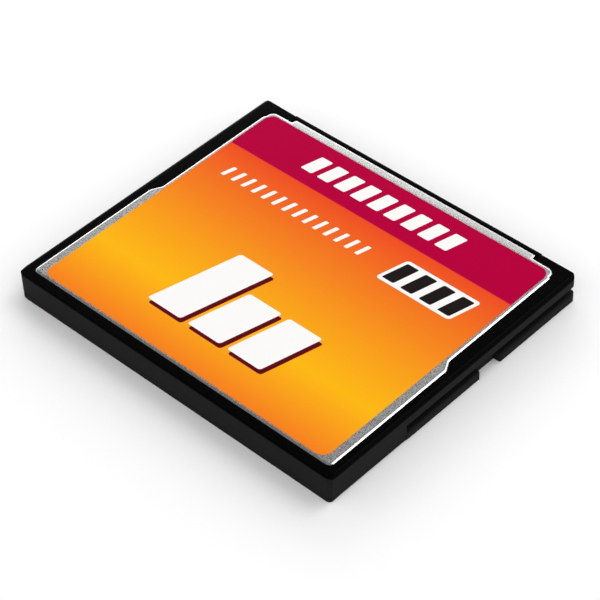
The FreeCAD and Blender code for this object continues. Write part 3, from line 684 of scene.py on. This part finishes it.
def pressed_cover(name, node, turned_over):
    """A pressed steel plate with a crowned rim, for the label's side or for the underside."""
    piece = cover_sheet(name)
    plate_edge = COVER_TOP - COVER_UNDERSIDE - sum(rise for width, rise in RIM_STEPS)
    move_all((0, 0, plate_edge))
    thicken(plate_edge)
    raise_crown(piece, COVER_UNDERSIDE + plate_edge, RIM_STEPS)
    ease_ramps(piece)
    bend_tongue(piece)
    if turned_over:
        move_all((0, 0, -CARD_THICKNESS))
        bpy.ops.transform.resize(value=(1, 1, -1), center_override=(0, 0, 0))
        bpy.ops.mesh.normals_make_consistent(inside=False)
    settle(piece, STEEL)
    second_finish(piece, SMOOTH_STEEL, lambda face: abs(face.normal.z) < RIM_FACING)
    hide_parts(node)


def label_sheet():
    """The label's sheet on the raised plate, and the height of its face."""
    low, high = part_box("front_label")
    low, high = low / MM, high / MM
    edge_height = high.z - LABEL_EDGE / 2
    piece = flat_sheet("orange_label", (low.x, high.x), (low.y, high.y), edge_height)
    round_corners(piece, lambda place: True, LABEL_CORNER, LABEL_CORNER_STEPS)
    thicken(edge_height - COVER_TOP)
    raise_crown(piece, edge_height, [(LABEL_EDGE, LABEL_EDGE / 2)])
    settle(piece, PRINTED_LABEL)
    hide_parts("front_label")
    return high.z


def slanted_bar(name, x, y, width, height, base, round_reach):
    """A flat bar of ink whose top leans forward, with soft corners."""
    piece = flat_sheet(name, (x, x + width), (y, y + height), base + INK)
    pick(piece, "VERT", lambda place: place.y > y + height / 2)
    bpy.ops.transform.translate(value=(SLANT * height, 0, 0))
    round_corners(piece, lambda place: True, round_reach, PRINT_ROUND_STEPS)
    thicken(INK)
    bpy.ops.object.mode_set(mode="OBJECT")
    return piece


def bar_row(name, bars, base, finish, grow=0.0, shift=(0.0, 0.0), round_reach=PRINT_ROUND):
    """A row of slanted bars as one print, each given as x, y, width and height."""
    row = []
    for x, y, width, height in bars:
        row.append(slanted_bar(name, x - grow + shift[0] - SLANT * grow, y - grow + shift[1],
                               width + 2 * grow, height + 2 * grow, base, round_reach))
    bpy.ops.object.select_all(action="DESELECT")
    for piece in row:
        piece.select_set(True)
    bpy.context.view_layer.objects.active = row[0]
    bpy.ops.object.join()
    settle(row[0], finish)


def label_print(surface):
    """Plain slanted bars where the label has its printed lines."""
    second_layer = surface + INK
    bar_row("band_bars", BAND_BARS, surface, WHITE_INK)
    bar_row("thin_ticks", THIN_TICKS, surface, WHITE_INK, round_reach=TICK_ROUND)
    bar_row("white_patch", WHITE_PATCH, surface, WHITE_INK,
            grow=PATCH_MARGIN, round_reach=PATCH_ROUND)
    bar_row("black_bars", BLACK_BARS, second_layer, BLACK_INK)
    bar_row("step_shadows", STEP_BARS, surface, SHADOW_INK,
            shift=SHADOW_SHIFT, round_reach=STEP_ROUND)
    bar_row("step_bars", STEP_BARS, second_layer, WHITE_INK, round_reach=STEP_ROUND)


def studio_floor():
    bpy.ops.object.select_all(action="DESELECT")
    bpy.ops.mesh.primitive_plane_add(size=FLOOR_WIDTH, location=(0, 0, 0))
    floor = bpy.context.active_object
    floor.name = "floor"
    finish, nodes, links, shader = new_finish("pale_floor")
    shader.inputs["Base Color"].default_value = grey(FLOOR_TONE)
    shader.inputs["Roughness"].default_value = FLOOR_ROUGHNESS
    shader.inputs["Specular IOR Level"].default_value = FLOOR_GLOSS
    floor.data.materials.append(finish)


def softbox(name, place, width, height, power):
    """A rectangular light that looks at the card."""
    light = bpy.data.lights.new(name, "AREA")
    light.shape = "RECTANGLE"
    light.size = width
    light.size_y = height
    light.energy = power
    lamp = bpy.data.objects.new(name, light)
    lamp.location = place
    lamp.rotation_euler = (-lamp.location).to_track_quat("-Z", "Y").to_euler()
    bpy.context.scene.collection.objects.link(lamp)


def studio_sky():
    """Even pale surroundings with a dim field almost overhead, which the card's top reflects."""
    world = bpy.data.worlds.new("studio")
    bpy.context.scene.world = world
    world.use_nodes = True
    nodes = world.node_tree.nodes
    links = world.node_tree.links
    sky = nodes["Background"]
    place = nodes.new("ShaderNodeTexCoord")
    facing = nodes.new("ShaderNodeVectorMath")
    facing.operation = "DOT_PRODUCT"
    facing.inputs[1].default_value = DIM_DIRECTION
    bright, dim = SKY_TONES
    ramp = ramp_between(nodes, DIM_RANGE, grey(bright), grey(dim))
    links.new(place.outputs["Generated"], facing.inputs[0])
    links.new(facing.outputs["Value"], ramp.inputs["Fac"])
    links.new(ramp.outputs["Color"], sky.inputs["Color"])
    sky.inputs["Strength"].default_value = SKY_STRENGTH


def camera():
    data = bpy.data.cameras.new("camera")
    data.sensor_width = SENSOR_WIDTH
    data.lens = CAMERA_LENS
    data.clip_start = NEAREST_SEEN
    seen = bpy.data.objects.new("camera", data)
    seen.location = CAMERA_PLACE
    seen.rotation_euler = [math.radians(angle) for angle in CAMERA_TURN]
    bpy.context.scene.collection.objects.link(seen)
    bpy.context.scene.camera = seen


finish_nodes()
moulded_half("upper_shell", "top_frame", lower=False)
moulded_half("lower_shell", "bottom_frame", lower=True)
pressed_cover("upper_cover_plate", "top_cover", turned_over=False)
pressed_cover("lower_cover_plate", "bottom_cover", turned_over=True)
label_print(label_sheet())

studio_floor()
studio_sky()
softbox("high_softbox", *HIGH_SOFTBOX)
softbox("low_softbox", *LOW_SOFTBOX)
camera()
bpy.context.scene.view_settings.view_transform = "Standard"
